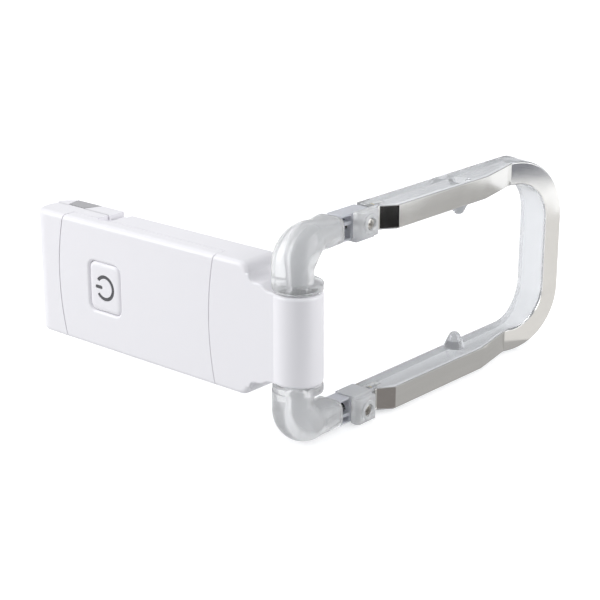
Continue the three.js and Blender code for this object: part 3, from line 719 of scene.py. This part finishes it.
def battery_door():
    """A panel with a screw at one end and grip grooves at its free end."""
    at = screw_place("door_screw")
    piece = box(door_low.x, door_high.x, door_low.y, door_high.y, door_low.z, door_high.z, fillet=0.35)
    cuts = [rod("y", at, SCREW_SEAT_R, REAR_Y - 0.7, REAR_Y + 1, sides=32),
            rod("y", at, SCREW_HOLE_R, 0, REAR_Y, sides=20)]
    count, pitch, width = DOOR_GRIPS
    for k in range(count):
        z = door_low.z + 2.2 + pitch * k
        cuts.append(box(at[0] - 6, at[0] + 6, REAR_Y - 0.3, REAR_Y + 1, z, z + width))
    return place(ease(combine(piece, cuts), 0.12), "battery_door_panel", "battery_door")


def power_button():
    """A soft-edged cap over its wider hidden rim, with the power mark sunk in its face."""
    face, back = button_low.y, button_high.y
    crown = [(face, -1.4), (face + 0.02, -1), (face + 0.1, -0.55), (face + 0.3, -0.16), (face + 0.6, 0)]
    rim = [(back - 0.8, 0), (back - 0.7, 1), (back, 1)]
    cap = button_stack(crown + rim, "cap")
    combine(cap, [power_mark(0, face - 1, face + MARK_DEPTH)])
    place(cap, "power_button_cap", "power_button")
    ink = power_mark(0.03, face + MARK_DEPTH - 0.06, face + MARK_DEPTH + 0.1)
    place(ease(ink, 0.02), "power_mark", "power_button", ICON, extra=True)


def power_mark(shrink, front, back):
    """A ring open towards the clip, and a bar through the opening."""
    half_width = MARK_HALF_WIDTH - shrink
    opening = math.radians(36)
    steps = 40
    sweep = [opening - math.pi + (2 * math.pi - 2 * opening) * k / steps for k in range(steps + 1)]
    outer, inner = ([(BUTTON_X + radius * math.cos(a), radius * math.sin(a)) for a in sweep]
                    for radius in (MARK_R + half_width, MARK_R - half_width))
    ring = prism(outer + inner[::-1], "y", front, back)
    bar = rounded_rect(BUTTON_X - MARK_R + 0.8, 0, 2.5, 2 * half_width, half_width - 0.02)
    return combine(ring, [prism(bar, "y", front, back)], "UNION")


# ---- Small hardware ----
def screw(node, axis):
    """A domed pan head with a tapered cross recess, on a plain shank."""
    low, high = span(node)
    k = "xyz".index(axis)
    at = tuple((low[c] + high[c]) / 2 for c in range(3) if c != k)
    tip, top = low[k], high[k]
    under = top - SCREW_HEAD
    shank = [(0, tip), (0.45, tip), (SCREW_SHANK_R, tip + 0.3), (SCREW_SHANK_R, under)]
    dome = [(1, SCREW_HEAD), (1, 0.45), (0.94, 0.27), (0.75, 0.1), (0.4, 0.02), (0, 0)]
    head = [(SCREW_HEAD_R * reach, top - depth) for reach, depth in dome]
    piece = turned(shank + head, axis, at)
    turn = AXES[axis]
    for along, across in ((SLOT_REACH, SLOT_HALF), (SLOT_HALF, SLOT_REACH)):
        floor = [turn(at[0] + sx * along * 0.45, at[1] + sy * across * 0.6, top - SLOT_DEPTH)
                 for sx, sy in SQUARE]
        mouth = [turn(at[0] + sx * along, at[1] + sy * across, top + 0.05) for sx, sy in SQUARE]
        combine(piece, [loft([floor, mouth], "cross")])
    return place(ease(piece, 0.04), node + "_head", node)


def refined(node, width=0.0, smooth=35):
    """A CAD solid's own mesh with its flats merged and its sharp edges eased."""
    piece = bpy.data.objects.new(node, frame["nodes"][node].data.copy())
    bpy.context.scene.collection.objects.link(piece)
    piece.data.transform(Matrix.Scale(1 / MM, 4) @ Matrix.Translation(-HINGE))
    if width:
        ease(piece, width)
    return place(piece, node + "_fine", node, smooth=smooth)


def swept(points, radius, sides=12, steps=6):
    """A round wire through points, smoothed by a Catmull-Rom spline."""
    path = [Vector(p) for p in points]
    ends = [2 * path[0] - path[1]] + path + [2 * path[-1] - path[-2]]
    line = []
    for i in range(1, len(ends) - 2):
        p0, p1, p2, p3 = ends[i - 1:i + 3]
        for k in range(steps):
            t = k / steps
            line.append(0.5 * (2 * p1 + (p2 - p0) * t + (2 * p0 - 5 * p1 + 4 * p2 - p3) * t ** 2
                               + (3 * p1 - p0 - 3 * p2 + p3) * t ** 3))
    line.append(path[-1])
    rings = []
    side = (line[1] - line[0]).orthogonal().normalized()
    for i, point in enumerate(line):
        ahead = (line[min(i + 1, len(line) - 1)] - line[max(i - 1, 0)]).normalized()
        side = (side - ahead * side.dot(ahead)).normalized()
        up = ahead.cross(side)
        rings.append([point + radius * (side * math.cos(a) + up * math.sin(a))
                      for a in (2 * math.pi * s / sides for s in range(sides))])
    return loft(rings, "swept")


# ---- Clip ----
def lever_plan():
    """The lever's jaw from above, with its rounded free end."""
    corner = [(-81.4, lever_high.y), (-84.4, 5.6), (-85.2, 3.4)]
    xs, ys = zip(*corner)
    steps = 10
    curve = [(quadratic(*xs, k / steps), quadratic(*ys, k / steps)) for k in range(steps + 1)]
    inner_x = RECESS_X + 0.3
    return [(inner_x, lever_low.y), (inner_x, lever_high.y)] + curve + [(-84.6, lever_low.y)]


def clip_lever():
    """The jaw, the thumb plate with its ridges and the knuckle on the pin, in one piece."""
    web = box(WEB["x0"], WEB["x1"], WEB["y0"], WEB["y1"], -WEB["half"], WEB["half"])
    pocket = prism(LIP_POCKET, "z", -BODY_HALF - 1, BODY_HALF + 1)
    jaw = combine(prism(lever_plan(), "z", -BODY_HALF, BODY_HALF), [combine(pocket, [web])])
    plate = box(RECESS_X - 0.7, lever_high.x, 5.2, REAR_Y, -THUMB_HALF, THUMB_HALF, fillet=0.45)
    knuckle = rod("z", (PIN_X, PIN_Y), KNUCKLE_R, -THUMB_HALF, THUMB_HALF, fillet=0.3, sides=40)
    ridge_half = THUMB_HALF - 2
    count, pitch, width = THUMB_RIDGES
    ridges = [box(x, x + width, REAR_Y - 0.4, REAR_Y + 0.35, -ridge_half, ridge_half, fillet=0.2)
              for x in (lever_high.x - 2.6 - pitch * k for k in range(count))]
    combine(jaw, [plate, knuckle] + ridges, "UNION")
    pin_hole = rod("z", (PIN_X, PIN_Y), 0.9, -THUMB_HALF - 1, THUMB_HALF + 1, sides=32)
    spring_room = box(PIN_X - 2.6, PIN_X + 2.6, 0, 5.9, -3.9, 3.9)
    combine(jaw, [pin_hole, spring_room])
    return place(ease(jaw, 0.5, segments=4, angle=40), "clip_lever_arm", "clip_lever")


def clip_lip():
    """Full-height rubber lip, grooved where it grips."""
    piece = prism(LIP, "z", -BODY_HALF, BODY_HALF)
    web_half = WEB["half"] + 0.1
    cuts = [box(WEB["x0"], WEB["x1"] + 1, WEB["y0"] - 0.1, WEB["y1"] + 0.1, -web_half, web_half)]
    count, pitch, width = LIP_GRIPS
    for k in range(count):
        x = -79.8 + pitch * k
        cuts.append(box(x, x + width, 2, 3.1, -BODY_HALF - 1, BODY_HALF + 1))
    return place(ease(combine(piece, cuts), 0.12), "clip_lip_rubber", "clip_lip")


def jaw_pad():
    """The rubber pad that the lip closes on, with grip grooves."""
    low, high = span("jaw_pad")
    piece = box(low.x, high.x, low.y, high.y, low.z, high.z, fillet=0.15)
    cuts = []
    count, pitch, width = PAD_GRIPS
    for k in range(count):
        x = low.x + 1.2 + pitch * k
        cuts.append(box(x, x + width, high.y - 0.4, high.y + 1, low.z + 1, high.z - 1))
    return place(ease(combine(piece, cuts), 0.08), "jaw_pad_rubber", "jaw_pad")


def clip_spring():
    """A close helix about the pin."""
    half = span("clip_spring")[1].z - SPRING_WIRE_R
    per_turn = 16
    count = SPRING_TURNS * per_turn
    points = []
    for i in range(count + 1):
        angle = 2 * math.pi * i / per_turn
        points.append((PIN_X + SPRING_R * math.cos(angle), PIN_Y + SPRING_R * math.sin(angle),
                       -half + 2 * half * i / count))
    coil = swept(points, SPRING_WIRE_R, sides=10, steps=1)
    return place(coil, "clip_spring_coil", "clip_spring", smooth=60)


# ---- Light loop and mirror ----
def arc(cy, cz, radius, start, end):
    """Points along an arc between two angles in degrees."""
    steps = 18
    angles = [math.radians(start + (end - start) * k / steps) for k in range(steps + 1)]
    return [(cy + radius * math.cos(a), cz + radius * math.sin(a)) for a in angles]


def loop_outline(start_y, inset):
    """The U of the loop in Y and Z, between its outer and inner edges."""
    out, inner = LEG_OUT - inset, LEG_IN + inset
    out_y, in_y = LOOP_OUT_END - LOOP_OUT_CORNER, LOOP_IN_END - LOOP_IN_CORNER
    out_r, in_r = LOOP_OUT_CORNER - inset, LOOP_IN_CORNER + inset
    in_z = LEG_IN - LOOP_IN_CORNER
    out_z = LEG_OUT - LOOP_OUT_CORNER
    outer_edge = arc(out_y, -out_z, out_r, -90, 0) + arc(out_y, out_z, out_r, 0, 90)
    inner_edge = arc(in_y, in_z, in_r, 90, 0) + arc(in_y, -in_z, in_r, 0, -90)
    return ([(start_y, -out)] + outer_edge + [(start_y, out), (start_y, inner)] + inner_edge
            + [(start_y, -inner)])


def leaning_prism(outline):
    """The loop's outline from its back to well past its front, leaning along Y."""
    return loft([[Vector((x, y + END_LEAN * x, z)) for y, z in outline]
                 for x in (LOOP_BACK_X, LOOP_FRONT_X)], "loop")


def under_mirror(shallow, deep):
    """The band, seen from above, between two depths under the mirror's face."""
    first, last = MIRROR_LINE[0], MIRROR_LINE[-1]
    face = [(LEG_START_Y - 1, first[1])] + MIRROR_LINE + [(last[0] + 8, last[1] + 2.6)]
    outline = [(x - shallow, y) for y, x in face] + [(x - deep, y) for y, x in reversed(face)]
    return prism(outline, "z", -LEG_OUT - 1, LEG_OUT + 1)


def nub(side):
    """An inward nub, which snaps into the body's channel when the loop is folded."""
    root = NUB_TIP + NUB_LENGTH
    profile = [(0, 0), (3.1, 0), (2.7, 0.9), (2.35, 1.8), (2.0, 2.6), (1.65, 3.3), (1.3, 4), (0.95, 4.35),
               (0.5, 4.55), (0, NUB_LENGTH)]
    return turned([(r, side * (root - h)) for r, h in profile], "z", (0, NUB_Y))


def light_loop():
    """The clear guide, whose front face follows the mirror's line just under it."""
    band = under_mirror(MIRROR_THICK + MIRROR_GAP, 20)
    piece = combine(leaning_prism(loop_outline(LEG_START_Y, 0)), [band], "INTERSECT")
    for side in SIDES.values():
        combine(piece, [nub(side)], "UNION")
    return place(ease(piece, 0.4, segments=3, angle=40), "light_loop_guide", "light_loop", smooth=40)


def mirror_strip():
    """The silver strip on the guide's front face."""
    outline = loop_outline(MIRROR_LINE[0][0], MIRROR_INSET)
    piece = combine(leaning_prism(outline), [under_mirror(0, MIRROR_THICK)], "INTERSECT")
    return place(ease(piece, 0.12, angle=40), "mirror_strip_film", "mirror_strip", smooth=25)


# ---- Elbows and LED blocks ----
def elbow_stations():
    """Sections along an elbow, from its disc to its end.

    Each is a center, a heading in the YZ plane, half its width and height, and how square it is;
    a squareness of 2 is round."""
    foot = Vector((ELBOW_FOOT_X, ELBOW_FOOT_Y, FLANGE_TOP - 0.5))
    bend = Vector((ELBOW_FOOT_X, foot.y + ELBOW_BEND, ELBOW_RISE_Z))
    stations = [(foot, math.pi / 2, ELBOW_FOOT_R, ELBOW_FOOT_R, 2)]
    steps = 16
    for k in range(steps + 1):
        t = k / steps
        turn = math.pi / 2 * t
        rise = (ELBOW_LEVEL_Z - ELBOW_RISE_Z) * math.sin(turn)
        center = bend + Vector((-ELBOW_FOOT_X * t, -ELBOW_BEND * math.cos(turn), rise))
        radius = quadratic(ELBOW_FOOT_R, ELBOW_BEND_R, ELBOW_LEVEL_R, t)
        stations.append((center, math.pi / 2 - turn, radius, radius, 2))
    level = Vector((0, bend.y, ELBOW_LEVEL_Z))
    for t in (0.25, 0.5, 0.75, 0.95, 1):
        half_x = ELBOW_LEVEL_R + (ELBOW_TIP_HALF_X - ELBOW_LEVEL_R) * t
        half_z = ELBOW_LEVEL_R + (ELBOW_TIP_HALF_Z - ELBOW_LEVEL_R) * t
        squareness = 2 + (ELBOW_TIP_SQUARENESS - 2) * t
        stations.append((level.lerp(ELBOW_TIP, t), 0, half_x, half_z, squareness))
    return stations


def superellipse(half_width, half_height, squareness):
    """A ring between an ellipse and a rectangle with rounded corners."""
    sides = 64
    points = []
    for s in range(sides):
        a = 2 * math.pi * s / sides
        u, v = (math.copysign(abs(w) ** (2 / squareness), w) for w in (math.cos(a), math.sin(a)))
        points.append((half_width * u, half_height * v))
    return points


def elbow_tube(side, outer_wall, inner_wall):
    """A bent tube, whose skins are given by their distance inside the wire passage's wall.

    None stands for the elbow's outside."""
    stations = elbow_stations()
    skins = []
    for wall in (outer_wall, inner_wall):
        rings = []
        for i, (center, heading, half_x, half_z, squareness) in enumerate(stations):
            across = Vector((0, -math.sin(heading), math.cos(heading)))
            if wall is not None:
                along = i / (len(stations) - 1)
                center = center - across * PASSAGE_OFFSET * (1 - along)
                widest = PASSAGE_FOOT_R + PASSAGE_FLARE * along
                half_x = min(half_x - ELBOW_WALL, widest) - wall
                half_z = min(half_z - ELBOW_WALL, widest) - wall
            ring = []
            for u, v in superellipse(half_x, half_z, squareness):
                point = center + Vector((u, 0, 0)) + across * v
                ring.append(Vector((point.x, point.y, side * point.z)))
            rings.append(ring)
        skins.append(rings)
    return loft(skins[0] + skins[1][::-1], "tube", closed=True)


def elbow(name, side):
    """A clear bent tube on a spigot that turns in the barrel, with a frosted lining in its passage."""
    rim, chamfer = FLANGE_RIM, 0.12
    disc = [(PASSAGE_R, FLANGE_BASE), (BARREL_R - rim, FLANGE_BASE),
            (BARREL_R - chamfer, FLANGE_BASE + chamfer), (BARREL_R, FLANGE_BASE + rim),
            (BARREL_R, FLANGE_TOP - rim), (BARREL_R - chamfer, FLANGE_TOP - chamfer),
            (BARREL_R - rim, FLANGE_TOP), (PASSAGE_R, FLANGE_TOP)]
    spigot = [(PASSAGE_R, SPIGOT_END), (SPIGOT_R, SPIGOT_END), (SPIGOT_R, FLANGE_BASE + 0.5),
              (PASSAGE_R, FLANGE_BASE + 0.5)]
    tube = elbow_tube(side, None, 0)
    collars = [collar([(r, side * z) for r, z in outline]) for outline in (disc, spigot)]
    combine(tube, collars, "UNION")
    place(ease(tube, 0.15, angle=55), f"elbow_{name}_tube", f"elbow_{name}", HAZY, smooth=50)
    lining = elbow_tube(side, *LINING)
    place(lining, f"elbow_{name}_lining", f"elbow_{name}", CORE, extra=True, smooth=50)


def collar(outline):
    """An outline of (radius, height) turned about the hinge axis; it keeps clear of the axis."""
    sides = 96
    rings = []
    for s in range(sides):
        a = 2 * math.pi * s / sides
        rings.append([Vector((r * math.cos(a), r * math.sin(a), z)) for r, z in outline])
    return loft(rings, "collar", closed=True)


def led_carrier(name, side):
    """The LED's white carrier, with ledges at its hinge end."""
    low, high = span(f"led_carrier_{name}")
    piece = box(low.x, high.x, ELBOW_TIP.y + 0.3, high.y, side * CARRIER_IN, side * CARRIER_OUT,
                fillet=0.25)
    cuts = [box(LEDGE["x0"], LEDGE["x1"], LEDGE["y0"], COVER_START_Y - 0.2, side * z, side * (z + gap))
            for z, gap in LEDGE_GAPS]
    cuts.append(rod("y", (LED_X, side * LED_Z), LED_R + 0.1, LEDGE["y0"], COVER_END_Y, sides=40))
    cuts.append(rod("x", (SCREW_Y, side * SCREW_Z), CARRIER_HOLE_R, 1.3, 4, sides=24))
    ease(combine(piece, cuts), 0.12)
    return place(piece, f"led_carrier_{name}_ledges", f"led_carrier_{name}", TRAY)


def led_cover(name, side):
    """The clear cover, with a raised boss around its screw and a lip under the leg."""
    front = span(f"led_cover_{name}")[1].x
    z0, z1 = sorted((side * COVER_IN, side * COVER_OUT))
    plan = [(COVER_BACK_X, COVER_START_Y), (front - 1, COVER_START_Y), (front, COVER_START_Y + 1),
            (front, COVER_END_Y), (COVER_BACK_X, COVER_END_Y)]
    piece = ease(prism(plan, "z", z0, z1), 0.45, segments=4, angle=40)
    lip = box(LOOP_BACK_X + 0.3, front - 1.3, COVER_START_Y, COVER_END_Y,
              side * COVER_LIP_IN, side * (COVER_IN + 0.3), fillet=0.2)
    at = (SCREW_Y, side * SCREW_Z)
    boss = rod("x", at, BOSS_R, 3, front + BOSS_HEIGHT, fillet=0.4)
    combine(piece, [lip, boss], "UNION")
    seat = rod("x", at, SCREW_HEAD_R + 0.1, front - 0.7, 8)
    combine(piece, [seat, rod("x", at, COVER_HOLE_R, 1, 5)])
    ease(piece, 0.12, angle=40)
    return place(piece, f"led_cover_{name}_plate", f"led_cover_{name}", MILKY, smooth=40)


def led(name, side):
    """A domed LED, with its two metal posts and the chip's yellow dot inside."""
    node = f"led_{name}"
    base, shoulder = span(node)[0].y, LED_TIP_Y - LED_R
    profile = [(0, base), (LED_R, base), (LED_R, shoulder)]
    profile += [(LED_R * math.cos(a), shoulder + LED_R * math.sin(a))
                for a in (math.radians(9 * k) for k in range(1, 10))]
    lens = turned(profile + [(0, LED_TIP_Y)], "y", (LED_X, side * LED_Z))
    place(lens, f"{node}_lens", node, smooth=50)
    cup_top = shoulder - 2.6
    cup = box(LED_X - 0.35, LED_X + 0.35, base + 1, cup_top,
              side * (LED_Z + 0.15), side * (LED_Z + 0.65), fillet=0.1)
    post = box(LED_X - 0.3, LED_X + 0.3, base + 1, cup_top - 0.4,
               side * (LED_Z - 0.65), side * (LED_Z - 0.2), fillet=0.1)
    place(combine(cup, [post], "UNION"), f"{node}_posts", node, FINISHES["steel"], extra=True)
    dot_at = (LED_X, side * (LED_Z + 0.4))
    dot = rod("y", dot_at, 0.45, cup_top - 0.02, cup_top + 0.3, fillet=0.12, sides=24)
    place(dot, f"{node}_chip", node, PHOSPHOR, extra=True)


def led_wire(node, side, offset):
    """A fine bare wire from the hinge up through the elbow to its LED."""
    end_y = span(node)[1].y
    lead_x = offset / 1.3 + LED_X
    route = [(offset, 0, BARREL_HALF - 4.3), (offset, -0.4, FLANGE_TOP + 0.5), (offset, 0.4, 19),
             (offset, 4, ELBOW_LEVEL_Z - 0.8), (offset - 0.3, 9, ELBOW_LEVEL_Z),
             (lead_x, ELBOW_TIP.y + 1, LED_Z), (lead_x, end_y, LED_Z)]
    wire = swept([(x, y, side * z) for x, y, z in route], LED_WIRE_R)
    return place(wire, node + "_fine", node, smooth=60)


# ---- Camera, lights and floor ----
def add_camera():
    """The photograph's view of the hinge, at its distance, without shift or roll."""
    level = math.cos(ELEVATION)
    back = Vector((math.sin(AZIMUTH) * level, -math.cos(AZIMUTH) * level, math.sin(ELEVATION)))
    right = Vector((math.cos(AZIMUTH), math.sin(AZIMUTH), 0))
    up = back.cross(right)
    data = bpy.data.cameras.new("camera")
    data.lens = LENS
    data.sensor_width = 36
    camera = bpy.data.objects.new("camera", data)
    bpy.context.scene.collection.objects.link(camera)
    camera.location = HINGE + (back * DISTANCE + right * AIM_RIGHT + up * AIM_UP) * MM
    camera.rotation_mode = "QUATERNION"
    camera.rotation_quaternion = Matrix((right, up, back)).transposed().to_quaternion()
    bpy.context.scene.camera = camera


def softbox(name, place_m, size, power):
    """A rectangular light that faces the object."""
    data = bpy.data.lights.new(name, "AREA")
    data.shape = "RECTANGLE"
    data.size, data.size_y = size
    data.energy = power
    light = bpy.data.objects.new(name, data)
    bpy.context.scene.collection.objects.link(light)
    light.location = place_m
    aim = Vector(LIGHT_TARGET) - Vector(place_m)
    light.rotation_mode = "QUATERNION"
    light.rotation_quaternion = aim.to_track_quat("-Z", "Y")


def reflection_card(name, x_range, y_range, color, z):
    """A glowing rectangle that only reflections show."""
    bm = bmesh.new()
    corners = [(x_range[sx > 0], y_range[sy > 0]) for sx, sy in SQUARE]
    bm.faces.new([bm.verts.new(HINGE + Vector((x, y, 0)) * MM) for x, y in corners])
    card = to_object(bm, name)
    card.location.z = z
    material = bpy.data.materials.new(name)
    material.use_nodes = True
    nodes = material.node_tree.nodes
    nodes.clear()
    glow = nodes.new("ShaderNodeEmission")
    glow.inputs["Color"].default_value = (*color, 1)
    output = nodes.new("ShaderNodeOutputMaterial")
    material.node_tree.links.new(glow.outputs[0], output.inputs["Surface"])
    card.data.materials.append(material)
    card.visible_camera = False
    card.visible_diffuse = False
    card.visible_transmission = False
    card.visible_shadow = False


def studio():
    """A bright, even white room with three large softboxes, a pale floor and the cards above it."""
    scene = bpy.context.scene
    scene.view_settings.view_transform = "Standard"
    world = bpy.data.worlds.new("room")
    scene.world = world
    world.use_nodes = True
    background = world.node_tree.nodes["Background"]
    background.inputs["Color"].default_value = (0.96, 0.98, 1.0, 1)
    background.inputs["Strength"].default_value = WORLD_STRENGTH
    for name, settings in SOFTBOXES.items():
        softbox(name, *settings)
    low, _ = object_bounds()
    bm = bmesh.new()
    bmesh.ops.create_grid(bm, x_segments=8, y_segments=8, size=3)
    floor = to_object(bm, "floor")
    floor.location = (0, 0, low.z - FLOOR_DROP * MM)
    paint = moulded("floor_paint", (0.90, 0.90, 0.905), 0.6, grain=0, spread=0.01,
                    Emission_Strength=FLOOR_GLOW)
    floor.data.materials.append(paint)
    floor.visible_diffuse = False
    for k, (name, card) in enumerate(CARDS.items()):
        reflection_card(name, *card, floor.location.z + (k + 1) * CARD_LIFT * MM)


# ---- Everything ----
add_camera()
front_cover()
rear_housing()
battery_door()
power_button()
for node in ("door_screw", "housing_screw_upper", "housing_screw_lower"):
    screw(node, "y")
for node in ("circuit_board", "power_switch", "driver_chip", "limit_resistor", "coin_cell_front",
             "coin_cell_rear", "minus_contact", "plus_contact", "clip_pin", "hinge_bush_upper",
             "hinge_bush_lower"):
    refined(node, width=0.08)
for node in ("hinge_lead_red", "hinge_lead_black"):
    refined(node, smooth=60)
clip_lever()
clip_lip()
jaw_pad()
clip_spring()
light_loop()
mirror_strip()
for name, side in SIDES.items():
    elbow(name, side)
    led_carrier(name, side)
    led_cover(name, side)
    led(name, side)
    screw(f"cover_screw_{name}", "x")
    for pole, offset in (("plus", 0.7), ("minus", -0.7)):
        led_wire(f"led_wire_{pole}_{name}", side, offset)
studio()
